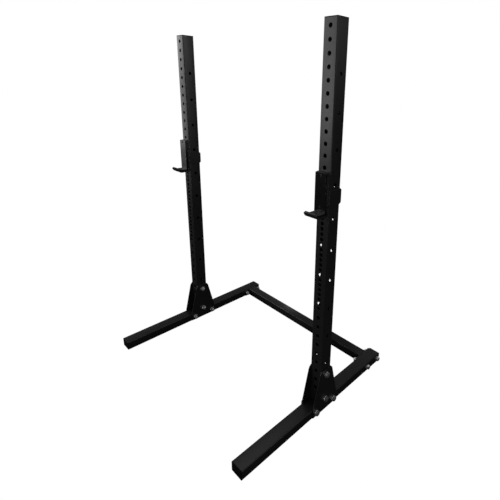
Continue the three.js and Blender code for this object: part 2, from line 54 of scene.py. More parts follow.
# Sizes shared with the CAD model
GAP = 0.3 * MM
WALL = 3 * MM
TUBE_CORNER = 3.5 * MM
CAP_PLUG_WALL = 2.5 * MM
CAP_FLANGE = 3 * MM
PATTERN_HOLE = 19 * MM
BOLT_HOLE = 17.5 * MM
HOLE_PITCH = 50.8 * MM
TOP_HOLE_DROP = 30 * MM
UPPER_HOLES = 15
BENCH_HOLES = 20
LOWER_HOLES = 9
SIDE_HOLES = 10
SIDE_FIRST_PITCHES = 3.5
SIDE_STEP_PITCHES = 3
FRAME_WIDTH = 70 * MM
BOLT = 16 * MM
WASHER = 3 * MM
WASHER_RADIUS = 14.8 * MM
HEX_APOTHEM = 12 * MM
HEAD_HEIGHT = 10 * MM
NUT_HEIGHT = 12.8 * MM
GUSSET_HALF = 92 * MM
GUSSET_SHOULDER = 46 * MM
GUSSET_SHOULDER_DROP = 14 * MM
GUSSET_TOP_HALF = 34 * MM
GUSSET_BOLT_HEIGHTS = (218 * MM, 69 * MM)
GUSSET_BOLT_OFFSET = 66 * MM
FLANGE_BOLT_OFFSET = 50 * MM
FOOT_HEIGHT = 50 * MM
CUP_CLEARANCE = 0.8 * MM
CUP_PLATE = 10 * MM
CUP_RISE = 34 * MM
CUP_DROP = 162 * MM
CUP_HEEL = 4 * MM
CUP_SEAT = 46 * MM
CUP_LIP = 20 * MM
CUP_LIP_BEND = math.radians(68)
CUP_LIP_END = 7 * MM
CUP_CORNER = 7 * MM
WRAP_THICKNESS = 6 * MM
WRAP_TOP = -42 * MM
WRAP_BOTTOM = -115 * MM
WRAP_LAP = 5 * MM
WRAP_BEND = 2 * MM
WRAP_TAB = 30 * MM
WRAP_SLOPE_HEIGHT = 10 * MM
WRAP_SLOPE_LENGTH = 14 * MM
BACK_LINER = 12 * MM
BACK_LINER_STEP = 1 * MM
SEAT_LINER = 7 * MM
SEAT_LINER_BEND = math.radians(60)
LINER_INSET = 4.5 * MM
LINER_CORNER = 3 * MM
SCREW = 6 * MM
SCREW_HEAD_SHARE = 2
SCREW_HEAD_DEPTH_SHARE = 0.55
SCREW_SINK = 0.6 * MM
SCREW_END_GAP = 2 * MM
UPPER_SCREW_DROP = 12 * MM
LOWER_SCREW_RISE = 36 * MM
PIN = 17.5 * MM
PIN_REACH = 34 * MM
PIN_CHAMFER = 1.5 * MM

# Sizes of the finish, which the CAD model leaves out or has coarser
HOLE_EDGE = 0.5 * MM
PLATE_EDGE = 1.5 * MM
PLATE_CORNER = 5 * MM
LINER_EDGE = 1.6 * MM
CAP_EDGE = 1.2 * MM
CAP_EDGE_DROP_SHARE = 0.3
CAP_EDGE_INSET_SHARE = 0.35
WASHER_EDGE = 0.4 * MM
HEX_RIM_SHARE = 0.97
HEX_FACE_SHARE = 0.98
HEX_SLOPE = math.radians(30)
THREAD_PITCH = 2 * MM
THREAD_DEPTH = 0.7 * MM
THREAD_TURNS = 14
THREAD_ROOT_SHARE = 0.1
THREAD_RIDGE_SHARES = (0.5, 0.6)
PIN_FRONT_EDGE = 0.5 * MM
SOCKET_APOTHEM = 2 * MM
SOCKET_DEPTH = 2.2 * MM
SCREW_EDGE_INSET = 0.3 * MM
SCREW_EDGE_DROP = 0.25 * MM

# Weld beads: their radii and the ripples of a hand weld, with wander in radians
CROSS_WELD = 2.6 * MM
CUP_WELD = 4.2 * MM
WELD_RIPPLE_SHARE = 2.1
WELD_END_SHARE = 0.3
WELD_MEAN_SHARE = 0.82
WELD_WAVE_SHARE = 0.18
WELD_WANDER = 0.6
WELD_WANDER_RIPPLES = 2.7
WELD_DRIFT_SHARE = 0.1
WELD_DRIFT_RIPPLES = 3.3

# How far a bolt is turned for each joint and side, in radians, and its nut's turn as a share of that
JOINT_TURN = 0.37
SIDE_TURN = 0.9
NUT_TURN_SHARE = 1.7

# Counts of points and strips round shapes
ROUND_STEPS = 32
HEX_STEPS = 48
CORNER_STEPS = 7
BEND_STEPS = 14
RIPPLE_STEPS = 8
BEAD_STEPS = 16
EDGE_STRIPS = 2

# How close two points count as one, and the angles past which an edge is a crease or is rounded
MERGE_DISTANCE = 0.0001 * MM
CREASE_ANGLE = math.radians(28)
EDGE_ANGLE = math.radians(40)

# Materials: darkest and lightest colour, least and most roughness, and the depth of fine relief
COAT_COLOURS = ((0.0125, 0.0125, 0.013), (0.0165, 0.0165, 0.017))
COAT_ROUGHNESS = (0.28, 0.32)
COAT_SPECULAR = 0.5
ZINC_COLOURS = ((0.78, 0.79, 0.80), (0.90, 0.91, 0.92))
ZINC_ROUGHNESS = (0.32, 0.44)
OXIDE_COLOURS = ((0.030, 0.030, 0.032), (0.055, 0.055, 0.058))
OXIDE_ROUGHNESS = (0.26, 0.40)
LINER_COLOURS = ((0.005, 0.005, 0.005), (0.009, 0.009, 0.009))
LINER_ROUGHNESS = (0.10, 0.13)
LINER_SPECULAR = 0.55
CAP_COLOURS = ((0.003, 0.003, 0.003), (0.005, 0.005, 0.005))
CAP_ROUGHNESS = (0.44, 0.52)
CAP_SPECULAR = 0.1
NOISE_RANGE = (0.25, 0.75)
PEEL_DEPTH = 0.1 * MM
GRAIN_DEPTH = 0.05 * MM
MILLING_DEPTH = 0.04 * MM
MILLING_SCALE = 260
MILLING_DISTORTION = 1.5

# The photograph's camera: its focal length and axis in pixels of a 500 pixel frame, then its place
FRAME_PIXELS = 500
FOCAL_PIXELS = 376.85
AXIS_PIXELS = (307.23, 195.0)
CAMERA_PLACE = (1.5958, -1.2253, 1.6150)
CAMERA_TURN = 0.7503
CAMERA_TILT = 0.2844
CAMERA_ROLL = 0.0297
SENSOR = 36.0

# The studio's soft panels, each with its azimuth in degrees from the front towards +X. A wall panel then
# has the height of its lower edge and its power, and a spot panel its elevation, size and power.
WALL_DISTANCE = 8.0
PANEL_WIDTH = 2.9
PANEL_HEIGHT = 2.2
WALL_PANELS = (
    (-75, 0, 36), (-55, 0, 12), (-35, 0, 50), (-10, 0, 20), (110, 0, 12),
    (-75, PANEL_HEIGHT, 85), (-55, PANEL_HEIGHT, 30), (-35, PANEL_HEIGHT, 35),
    (110, PANEL_HEIGHT, 40), (135, PANEL_HEIGHT, 4),
    (-165, 0, 60), (-165, PANEL_HEIGHT, 8), (-140, 0, 12), (-95, 0, 24),
)
SPOT_DISTANCE = 4.6
SPOT_TARGET = 0.9
SPOT_PANELS = (
    (50, 26, 0.8, 8), (45, -8, 0.4, 14), (-65, -4.4, 0.7, 0.7), (-55, 55, 1.4, 8),
    (-120, 60, 2.4, 10), (180, 60, 2.4, 3),
)

# The floor's width, and how light the floor and the background are to all rays but the camera's
FLOOR_SIZE = 60
FLOOR_SHADE = 0.06
WORLD_STRENGTH = 0.1


# Meshes from loops of points

def loft(bm, loops, closed):
    """Skins loops that have the same number of points, and caps the ends unless it closes on itself."""
    rows = [[bm.verts.new(p) for p in loop] for loop in loops]
    pairs = list(zip(rows, rows[1:])) + ([(rows[-1], rows[0])] if closed else [])
    count = len(rows[0])
    for low, high in pairs:
        for i in range(count):
            j = (i + 1) % count
            bm.faces.new((low[i], low[j], high[j], high[i]))
    if not closed:
        bm.faces.new(list(reversed(rows[0])))
        bm.faces.new(rows[-1])


def arc(centre, radius, start, end, steps):
    """Points on a circle in a plane, from one angle to another."""
    turns = [start + (end - start) * i / steps for i in range(steps + 1)]
    return [(centre[0] + radius * math.cos(a), centre[1] + radius * math.sin(a)) for a in turns]


def rounded_rectangle(width, height, radius):
    """A closed outline with its corners rounded."""
    x, y = width / 2 - radius, height / 2 - radius
    quarter = math.pi / 2
    points = []
    for i, (cx, cy) in enumerate(((x, y), (-x, y), (-x, -y), (x, -y))):
        points += arc((cx, cy), radius, i * quarter, (i + 1) * quarter, CORNER_STEPS)
    return points


def rounded_polygon(corners, radius):
    """A closed outline of straight sides joined by curves that start one radius from each corner."""
    points = []
    for i, here in enumerate(corners):
        here = Vector(here)
        before, after = Vector(corners[i - 1]), Vector(corners[(i + 1) % len(corners)])
        start = here + (before - here).normalized() * radius
        end = here + (after - here).normalized() * radius
        for step in range(CORNER_STEPS + 1):
            t = step / CORNER_STEPS
            point = start * (1 - t) ** 2 + here * 2 * t * (1 - t) + end * t ** 2
            points.append((point.x, point.y))
    return points


def along_x(points, x):
    return [(x, p[0], p[1]) for p in points]


def along_y(points, y):
    return [(p[0], y, p[1]) for p in points]


def along_z(points, z):
    return [(p[0], p[1], z) for p in points]


def ring(x, radius, steps=HEX_STEPS):
    """A circle about the X axis."""
    turns = [2 * math.pi * i / steps for i in range(steps)]
    return [(x, radius * math.cos(a), radius * math.sin(a)) for a in turns]


def hexagon(x, apothem, flat=None):
    """A hexagon about the X axis, whose corners fall back where they stand out past a flat radius."""
    points = []
    for i in range(HEX_STEPS):
        a = 2 * math.pi * i / HEX_STEPS
        radius = apothem / math.cos((a + math.pi / 6) % (math.pi / 3) - math.pi / 6)
        back = 0 if flat is None else (radius - flat) * math.tan(HEX_SLOPE)
        points.append((x - back, radius * math.cos(a), radius * math.sin(a)))
    return points


def mesh_from(bm, name):
    bmesh.ops.remove_doubles(bm, verts=bm.verts, dist=MERGE_DISTANCE)
    bmesh.ops.recalc_face_normals(bm, faces=bm.faces)
    mesh = bpy.data.meshes.new(name)
    bm.to_mesh(mesh)
    bm.free()
    mesh.polygons.foreach_set("use_smooth", [True] * len(mesh.polygons))
    return mesh


def lofted(name, *shells):
    """A mesh of one or more lofts, each given as its loops and whether it closes on itself."""
    bm = bmesh.new()
    for loops, closed in shells:
        loft(bm, loops, closed)
    return mesh_from(bm, name)


def sharpened(mesh):
    """Keeps flat faces flat where a mesh has its fine edges modelled already."""
    mesh.set_sharp_from_angle(angle=CREASE_ANGLE)
    return mesh


def worked(mesh, cutters, edge):
    """Cuts a mesh by others, then rounds its sharp edges."""
    scene = bpy.context.scene
    blank = bpy.data.objects.new(mesh.name, mesh)
    tools = [bpy.data.objects.new("cutter", cutter) for cutter in cutters]
    for thing in [blank, *tools]:
        scene.collection.objects.link(thing)
    for tool in tools:
        boolean = blank.modifiers.new("cut", "BOOLEAN")
        boolean.operation = "DIFFERENCE"
        boolean.solver = "EXACT"
        boolean.object = tool
    bevel = blank.modifiers.new("edge", "BEVEL")
    bevel.width = edge
    bevel.segments = EDGE_STRIPS
    bevel.limit_method = "ANGLE"
    bevel.angle_limit = EDGE_ANGLE
    bevel.harden_normals = True
    graph = bpy.context.evaluated_depsgraph_get()
    result = bpy.data.meshes.new_from_object(blank.evaluated_get(graph))
    for thing in [blank, *tools]:
        bpy.data.objects.remove(thing)
    return result


def drill(axis, diameter, length, places):
    """A cutter of round bars along one axis, each centred on a place."""
    bm = bmesh.new()
    turn = Vector((0, 0, 1)).rotation_difference(Vector(axis)).to_matrix().to_4x4()
    for place in places:
        bmesh.ops.create_cone(
            bm, cap_ends=True, segments=ROUND_STEPS, radius1=diameter / 2, radius2=diameter / 2,
            depth=length, matrix=Matrix.Translation(place) @ turn)
    mesh = bpy.data.meshes.new("drill")
    bm.to_mesh(mesh)
    bm.free()
    return mesh


# Procedural materials

def noise(nodes, links, source, scale, detail, roughness=0.5):
    node = nodes.new("ShaderNodeTexNoise")
    node.inputs["Scale"].default_value = scale
    node.inputs["Detail"].default_value = detail
    node.inputs["Roughness"].default_value = roughness
    links.new(source, node.inputs["Vector"])
    return node.outputs["Fac"]


def ramp(nodes, links, value, low, high):
    """Maps the range that a noise's values mostly keep to onto another."""
    node = nodes.new("ShaderNodeMapRange")
    node.inputs["From Min"].default_value = NOISE_RANGE[0]
    node.inputs["From Max"].default_value = NOISE_RANGE[1]
    node.inputs["To Min"].default_value = low
    node.inputs["To Max"].default_value = high
    links.new(value, node.inputs["Value"])
    return node.outputs["Result"]


def tint(nodes, links, value, low, high):
    """Mixes two colours by a value."""
    node = nodes.new("ShaderNodeMix")
    node.data_type = "RGBA"
    node.inputs["A"].default_value = (*low, 1)
    node.inputs["B"].default_value = (*high, 1)
    links.new(value, node.inputs["Factor"])
    return node.outputs["Result"]


def bump(nodes, links, height, strength, distance, below=None):
    node = nodes.new("ShaderNodeBump")
    node.inputs["Strength"].default_value = strength
    node.inputs["Distance"].default_value = distance
    links.new(height, node.inputs["Height"])
    if below is not None:
        links.new(below, node.inputs["Normal"])
    return node.outputs["Normal"]


def mottle(nodes, links, shader, value, colours, roughness):
    """Varies a shader's colour and roughness over the surface by a value."""
    links.new(tint(nodes, links, value, *colours), shader.inputs["Base Color"])
    links.new(ramp(nodes, links, value, *roughness), shader.inputs["Roughness"])


def start_material(name):
    material = bpy.data.materials.new(name)
    material.use_nodes = True
    nodes, links = material.node_tree.nodes, material.node_tree.links
    shader = nodes["Principled BSDF"]
    source = nodes.new("ShaderNodeTexCoord").outputs["Object"]
    return material, nodes, links, shader, source


def powder_coat():
    """Semi-matte black powder coat with a fine orange-peel surface."""
    material, nodes, links, shader, source = start_material("powder_coat_black")
    blotch = noise(nodes, links, source, scale=9, detail=4)
    peel = noise(nodes, links, source, scale=700, detail=2, roughness=0.6)
    grain = noise(nodes, links, source, scale=2600, detail=1)
    mottle(nodes, links, shader, blotch, COAT_COLOURS, COAT_ROUGHNESS)
    fine = bump(nodes, links, grain, strength=0.15, distance=GRAIN_DEPTH)
    relief = bump(nodes, links, peel, strength=0.25, distance=PEEL_DEPTH, below=fine)
    links.new(relief, shader.inputs["Normal"])
    shader.inputs["Specular IOR Level"].default_value = COAT_SPECULAR
    return material


def bright_zinc():
    """Bright zinc plating: a metal with faint cloudy patches and fine turning marks."""
    material, nodes, links, shader, source = start_material("bright_zinc")
    cloud = noise(nodes, links, source, scale=160, detail=3)
    marks = noise(nodes, links, source, scale=1800, detail=2, roughness=0.7)
    mottle(nodes, links, shader, cloud, ZINC_COLOURS, ZINC_ROUGHNESS)
    relief = bump(nodes, links, marks, strength=0.2, distance=GRAIN_DEPTH)
    links.new(relief, shader.inputs["Normal"])
    shader.inputs["Metallic"].default_value = 1.0
    return material


def black_oxide():
    """Black oxide on steel: a dark oily metal with faint patches."""
    material, nodes, links, shader, source = start_material("black_oxide")
    cloud = noise(nodes, links, source, scale=300, detail=3)
    marks = noise(nodes, links, source, scale=2200, detail=2, roughness=0.7)
    mottle(nodes, links, shader, cloud, OXIDE_COLOURS, OXIDE_ROUGHNESS)
    relief = bump(nodes, links, marks, strength=0.2, distance=GRAIN_DEPTH)
    links.new(relief, shader.inputs["Normal"])
    shader.inputs["Metallic"].default_value = 1.0
    return material


def wear_plastic():
    """Black wear plastic, waxy, with shallow milling marks."""
    material, nodes, links, shader, source = start_material("wear_plastic_black")
    cloud = noise(nodes, links, source, scale=60, detail=4)
    wave = nodes.new("ShaderNodeTexWave")
    wave.bands_direction = "Z"
    wave.inputs["Scale"].default_value = MILLING_SCALE
    wave.inputs["Distortion"].default_value = MILLING_DISTORTION
    links.new(source, wave.inputs["Vector"])
    mottle(nodes, links, shader, cloud, LINER_COLOURS, LINER_ROUGHNESS)
    relief = bump(nodes, links, wave.outputs["Fac"], strength=0.04, distance=MILLING_DEPTH)
    links.new(relief, shader.inputs["Normal"])
    shader.inputs["Specular IOR Level"].default_value = LINER_SPECULAR
    return material


def cap_plastic():
    """Moulded black plastic with a fine spark-eroded grain."""
    material, nodes, links, shader, source = start_material("cap_plastic_black")
    cloud = noise(nodes, links, source, scale=40, detail=3)
    grain = noise(nodes, links, source, scale=1500, detail=2, roughness=0.7)
    mottle(nodes, links, shader, cloud, CAP_COLOURS, CAP_ROUGHNESS)
    relief = bump(nodes, links, grain, strength=0.2, distance=GRAIN_DEPTH)
    links.new(relief, shader.inputs["Normal"])
    shader.inputs["Specular IOR Level"].default_value = CAP_SPECULAR
    return material


MATERIALS = {
    "powder_coat": powder_coat(),
    "zinc": bright_zinc(),
    "black_oxide": black_oxide(),
    "liner_plastic": wear_plastic(),
    "cap_plastic": cap_plastic(),
}


# Placing pieces on the frame

BODY_OF = {node: body for body, nodes in frame["record"]["behaviour"]["bodies"].items() for node in nodes}
SLOT_OF = {part["node"]: part["material_slot"] for part in frame["record"]["subparts"]}


def centre(node):
    low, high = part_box(node)
    return (low + high) / 2


def size_of(node):
    low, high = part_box(node)
    return high - low


def add_piece(name, mesh, matrix, body, slot):
    """Shows a mesh as a piece of its own, riding on a body."""
    piece = bpy.data.objects.new(name, mesh)
    bpy.context.scene.collection.objects.link(piece)
    piece.matrix_world = matrix
    if not mesh.materials:
        mesh.materials.append(MATERIALS[slot])
    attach(piece, body)
    return piece


def dress(node, mesh, matrix):
    """Shows a finer mesh in place of a CAD node, riding on that node's body."""
    piece = add_piece(node + "_look", mesh, matrix, BODY_OF[node], SLOT_OF[node])
    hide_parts(node)


# Tubes: the uprights, feet and cross member

def tube_loops(width, height, spread, low, high):
    """Loops of a tube's skin, by a function that lays an outline across its length."""
    outer = rounded_rectangle(width, height, TUBE_CORNER)
    inner = rounded_rectangle(width - 2 * WALL, height - 2 * WALL, TUBE_CORNER - WALL)
    return [spread(outer, low), spread(outer, high), spread(inner, high), spread(inner, low)]


def hole_heights(top):
    pitches = list(range(UPPER_HOLES))
    pitches += [UPPER_HOLES + i / 2 for i in range(BENCH_HOLES)]
    pitches += [pitches[-1] + 1 + i for i in range(LOWER_HOLES)]
    return [top - TOP_HOLE_DROP - pitch * HOLE_PITCH for pitch in pitches]


def side_heights(top):
    first = top - TOP_HOLE_DROP - SIDE_FIRST_PITCHES * HOLE_PITCH
    return [first - i * SIDE_STEP_PITCHES * HOLE_PITCH for i in range(SIDE_HOLES)]


def make_upright(node):
    low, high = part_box(node)
    size = high - low
    tube = lofted("upright", (tube_loops(size.x, size.y, along_z, low.z, high.z), True))
    front = [(0, 0, z) for z in hole_heights(high.z)]
    side = [(0, 0, z) for z in [*side_heights(high.z), *GUSSET_BOLT_HEIGHTS]]
    through = drill((0, 1, 0), PATTERN_HOLE, 2 * size.y, front)
    across = drill((1, 0, 0), BOLT_HOLE, 2 * size.x, side)
    return worked(tube, (through, across), HOLE_EDGE)


def make_foot(node):
    size = size_of(node)
    middle = centre(node)
    upright_y = centre(node.replace("foot", "upright")).y
    flange_y = centre(node.replace("foot", "flange")).y
    places = [upright_y - GUSSET_BOLT_OFFSET, upright_y + GUSSET_BOLT_OFFSET,
              flange_y - FLANGE_BOLT_OFFSET, flange_y + FLANGE_BOLT_OFFSET]
    tube = lofted("foot", (tube_loops(size.x, size.z, along_y, -size.y / 2, size.y / 2), True))
    holes = drill((1, 0, 0), BOLT_HOLE, 2 * size.x, [(0, y - middle.y, 0) for y in places])
    return worked(tube, (holes,), HOLE_EDGE)


def make_cross_tube(node):
    size = size_of(node)
    loops = tube_loops(size.y, size.z, along_x, -size.x / 2, size.x / 2)
    return lofted("cross_tube", (loops, True))


def dress_tubes():
    upright = make_upright("right_upright")
    foot = make_foot("right_foot")
    for side in ("right", "left"):
        middle = centre(side + "_upright")
        dress(side + "_upright", upright, Matrix.Translation((middle.x, middle.y, 0)))
        dress(side + "_foot", foot, Matrix.Translation(centre(side + "_foot")))
    dress("cross_tube", make_cross_tube("cross_tube"), Matrix.Translation(centre("cross_tube")))


# End caps

def make_cap(width, height, depth):
    """A cap that faces +Z, with its flange's underside at zero."""
    def outline(inset, radius):
        return rounded_rectangle(width - 2 * inset, height - 2 * inset, radius)

    full = outline(0, TUBE_CORNER)
    edge = CAP_EDGE * CAP_EDGE_INSET_SHARE
    middle = outline(edge, TUBE_CORNER - edge)
    slim = outline(CAP_EDGE, TUBE_CORNER - CAP_EDGE)
    outer = outline(WALL + GAP, TUBE_CORNER - WALL)
    inner = outline(WALL + GAP + CAP_PLUG_WALL, TUBE_CORNER - WALL)
    flange = [along_z(full, 0), along_z(full, CAP_FLANGE - CAP_EDGE),
              along_z(middle, CAP_FLANGE - CAP_EDGE * CAP_EDGE_DROP_SHARE), along_z(slim, CAP_FLANGE)]
    plug = [along_z(outer, -depth), along_z(outer, GAP), along_z(inner, GAP), along_z(inner, -depth)]
    return sharpened(lofted("cap", (flange, False), (plug, True)))


def dress_caps():
    size = size_of("right_upright_cap")
    upright_cap = make_cap(size.x, size.y, size.z - CAP_FLANGE)
    size = size_of("right_foot_front_cap")
    foot_cap = make_cap(size.x, size.z, size.y - CAP_FLANGE)
    for side in ("right", "left"):
        node = side + "_upright_cap"
        low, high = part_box(node)
        place = Matrix.Translation((centre(node).x, centre(node).y, high.z - CAP_FLANGE))
        dress(node, upright_cap, place)
        for end, turn in (("front", math.pi / 2), ("rear", -math.pi / 2)):
            node = f"{side}_foot_{end}_cap"
            low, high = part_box(node)
            y = low.y + CAP_FLANGE if end == "front" else high.y - CAP_FLANGE
            place = Matrix.Translation((centre(node).x, y, centre(node).z))
            dress(node, foot_cap, place @ Matrix.Rotation(turn, 4, "X"))


# Gusset and flange plates

def make_plate(name, corners, thickness, holes):
    outline = rounded_polygon(corners, PLATE_CORNER)
    plate = lofted(name, ([along_x(outline, -thickness / 2), along_x(outline, thickness / 2)], False))
    bores = drill((1, 0, 0), BOLT_HOLE, 4 * thickness, [(0, y, z) for y, z in holes])
    return worked(plate, (bores,), PLATE_EDGE)


def both_sides(half):
    """The corners of an outline from those of its positive half."""
    return half + [(-y, z) for y, z in reversed(half)]


def make_gusset(node):
    low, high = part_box(node)
    corners = both_sides([
        (GUSSET_HALF, low.z), (GUSSET_HALF, FOOT_HEIGHT),
        (GUSSET_SHOULDER, high.z - GUSSET_SHOULDER_DROP), (GUSSET_TOP_HALF, high.z)])
    holes = [(0, z) for z in GUSSET_BOLT_HEIGHTS]
    holes += [(-GUSSET_BOLT_OFFSET, FOOT_HEIGHT / 2), (GUSSET_BOLT_OFFSET, FOOT_HEIGHT / 2)]
    return make_plate("gusset", corners, high.x - low.x, holes)


def make_flange(node):
    low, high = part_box(node)
    half = (high.y - low.y) / 2
    holes = [(-FLANGE_BOLT_OFFSET, FOOT_HEIGHT / 2), (FLANGE_BOLT_OFFSET, FOOT_HEIGHT / 2)]
    corners = both_sides([(half, low.z), (half, high.z)])
    return make_plate("flange", corners, high.x - low.x, holes)


def dress_plates():
    gusset = make_gusset("right_outer_gusset")
    flange = make_flange("right_flange")
    for side in ("right", "left"):
        for node, mesh in ((side + "_outer_gusset", gusset), (side + "_inner_gusset", gusset),
                           (side + "_flange", flange)):
            middle = centre(node)
            dress(node, mesh, Matrix.Translation((middle.x, middle.y, 0)))


# Bolts and nuts: each faces +X, and X zero is the face that it clamps

HEX_SEAT = GAP + WASHER
HEAD_TOP = HEX_SEAT + HEAD_HEIGHT
NUT_TOP = HEX_SEAT + NUT_HEIGHT


def washer_shell():
    bore = BOLT / 2 + 2 * GAP
    flat = WASHER_RADIUS - WASHER_EDGE
    profile = ((GAP, bore), (GAP, flat), (GAP + WASHER_EDGE, WASHER_RADIUS),
               (HEX_SEAT - WASHER_EDGE, WASHER_RADIUS), (HEX_SEAT, flat), (HEX_SEAT, bore))
    return [ring(x, radius) for x, radius in profile]


def thread_rings(start, end):
    """Rings of a thread's ridges and roots, from one place to another."""
    count = round((end - start) / THREAD_PITCH)
    rings = []
    for i in range(count):
        x = start + i * THREAD_PITCH
        rings.append(ring(x + THREAD_PITCH * THREAD_ROOT_SHARE, BOLT / 2 - THREAD_DEPTH))
        rings += [ring(x + THREAD_PITCH * share, BOLT / 2) for share in THREAD_RIDGE_SHARES]
    return rings


def make_bolt(length):
    """A bolt whose shank reaches back by its length under the head."""
    tip = -length
    threads = thread_rings(tip + THREAD_PITCH / 2, tip + THREAD_PITCH * THREAD_TURNS)
    plain = tip + THREAD_PITCH * (THREAD_TURNS + 1)
    rim = HEX_APOTHEM * HEX_RIM_SHARE
    loops = [ring(tip, BOLT / 2 - 2 * THREAD_DEPTH), *threads, ring(plain, BOLT / 2),
             ring(HEX_SEAT, BOLT / 2), hexagon(HEX_SEAT, HEX_APOTHEM),
             hexagon(HEAD_TOP, HEX_APOTHEM, rim), ring(HEAD_TOP, rim * HEX_FACE_SHARE)]
    return sharpened(lofted("bolt", (loops, False), (washer_shell(), True)))


def make_nut():
    bore = BOLT / 2 + GAP
    rim = HEX_APOTHEM * HEX_RIM_SHARE
    loops = [ring(HEX_SEAT, bore), hexagon(HEX_SEAT, HEX_APOTHEM), hexagon(NUT_TOP, HEX_APOTHEM, rim),
             ring(NUT_TOP, rim * HEX_FACE_SHARE), ring(NUT_TOP, bore + THREAD_DEPTH),
             ring(NUT_TOP - THREAD_DEPTH, bore)]
    return sharpened(lofted("nut", (loops, True), (washer_shell(), True)))


def clamp_place(node, facing, reach, turn):
    """Where a fastener's clamped face is, from its box and the way that it faces."""
    low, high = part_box(node)
    x = high.x - reach if facing > 0 else low.x + reach
    place = Matrix.Translation((x, centre(node).y, centre(node).z))
    way = Matrix.Rotation(0 if facing > 0 else math.pi, 4, "Z")
    return place @ way @ Matrix.Rotation(turn, 4, "X")


def dress_fasteners():
    nut = make_nut()
    bolts = {}
    joints = ("gusset_upper", "gusset_lower", "gusset_front", "gusset_rear", "flange_front", "flange_rear")
    for s, (side, outward) in enumerate((("right", 1), ("left", -1))):
        for j, joint in enumerate(joints):
            node = f"{side}_{joint}_bolt"
            low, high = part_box(node)
            kind = joint.split("_")[0]
            if kind not in bolts:
                bolts[kind] = make_bolt(high.x - low.x - HEAD_TOP)
            turn = JOINT_TURN * (j + 1) + SIDE_TURN * s
            dress(node, bolts[kind], clamp_place(node, outward, HEAD_TOP, turn))
            nut_node = f"{side}_{joint}_nut"
            dress(nut_node, nut, clamp_place(nut_node, -outward, NUT_TOP, NUT_TURN_SHARE * turn))


# J-cups, measured from the pin's axis and the upright's middle

CUP_REAR = -(FRAME_WIDTH / 2 + CUP_CLEARANCE)
CUP_FRONT = CUP_REAR - CUP_PLATE
CUP_HALF = FRAME_WIDTH / 2 + CUP_CLEARANCE - GAP
CUP_FLOOR = CUP_PLATE - CUP_DROP
LIP_Y = CUP_FRONT - CUP_SEAT
LIP_Z = CUP_FLOOR + CUP_LIP
LINER_REAR = CUP_FRONT - GAP
LINER_FRONT = LINER_REAR - BACK_LINER
LINER_HALF = CUP_HALF - LINER_INSET
SEAT_TOP = CUP_FLOOR + GAP + SEAT_LINER
SCREW_HEIGHTS = (CUP_RISE - UPPER_SCREW_DROP, CUP_FLOOR + LOWER_SCREW_RISE)
SEAT_SCREW_Y = (LINER_FRONT + LIP_Y) / 2


def narrowed(half, radius, distance):
    """The half width at a distance from an end whose corners are rounded."""
    if distance >= radius:
        return half
    return half - radius + math.sqrt(radius ** 2 - (radius - distance) ** 2)


def strip(rows):
    """A plate's loops from rows of an inner point, an outer point and a half width."""
    return [[(-half, *inner), (half, *inner), (half, *outer), (-half, *outer)]
            for inner, outer, half in rows]


def bend_rows(middle, inner, outer, start, end, half):
    """Rows round a bend about a middle, at two radii."""
    return [(a, b, half) for a, b in zip(arc(middle, inner, start, end, BEND_STEPS),
                                         arc(middle, outer, start, end, BEND_STEPS))]


def rounding(radius):
    """Distances from an end at which its rounded corners are given points."""
    return [radius * (1 - math.cos(math.pi / 2 * i / CORNER_STEPS)) for i in range(CORNER_STEPS + 1)]


def lip_row(along, total):
    """A row of the hook's lip at a length from the bend's start."""
    mean = CUP_LIP + CUP_PLATE / 2
    angle = -math.pi / 2 - min(along / mean, CUP_LIP_BEND)
    past = max(0.0, along - mean * CUP_LIP_BEND)
    y = LIP_Y + past * math.sin(angle)
    z = LIP_Z - past * math.cos(angle)
    half = narrowed(CUP_HALF, CUP_CORNER, total - along)
    near = (y + CUP_LIP * math.cos(angle), z + CUP_LIP * math.sin(angle))
    far = (y + (CUP_LIP + CUP_PLATE) * math.cos(angle), z + (CUP_LIP + CUP_PLATE) * math.sin(angle))
    return near, far, half


def hook_rows():
    rows = [((CUP_FRONT, CUP_RISE - d), (CUP_REAR, CUP_RISE - d), narrowed(CUP_HALF, CUP_CORNER, d))
            for d in rounding(CUP_CORNER)]
    heel = (CUP_FRONT - CUP_HEEL, CUP_FLOOR + CUP_HEEL)
    rows += bend_rows(heel, CUP_HEEL, CUP_HEEL + CUP_PLATE, 0, -math.pi / 2, CUP_HALF)
    total = (CUP_LIP + CUP_PLATE / 2) * CUP_LIP_BEND + CUP_LIP_END
    plain = total - CUP_CORNER
    rows += [lip_row(plain * i / BEND_STEPS, total) for i in range(BEND_STEPS)]
    rows += [lip_row(total - d, total) for d in reversed(rounding(CUP_CORNER))]
    return rows


def make_hook():
    hook = lofted("jcup_hook", (strip(hook_rows()), False))
    middle = (CUP_REAR + CUP_FRONT) / 2
    pin = drill((0, 1, 0), PIN + 2 * GAP, 2 * CUP_PLATE, [(0, middle, 0)])
    screws = drill((0, 1, 0), SCREW + 2 * GAP, 2 * CUP_PLATE, [(0, middle, z) for z in SCREW_HEIGHTS])
    seat = drill((0, 0, 1), SCREW + 2 * GAP, 2 * CUP_PLATE, [(0, SEAT_SCREW_Y, CUP_FLOOR - CUP_PLATE / 2)])
    return worked(hook, (pin, screws, seat), PLATE_EDGE)


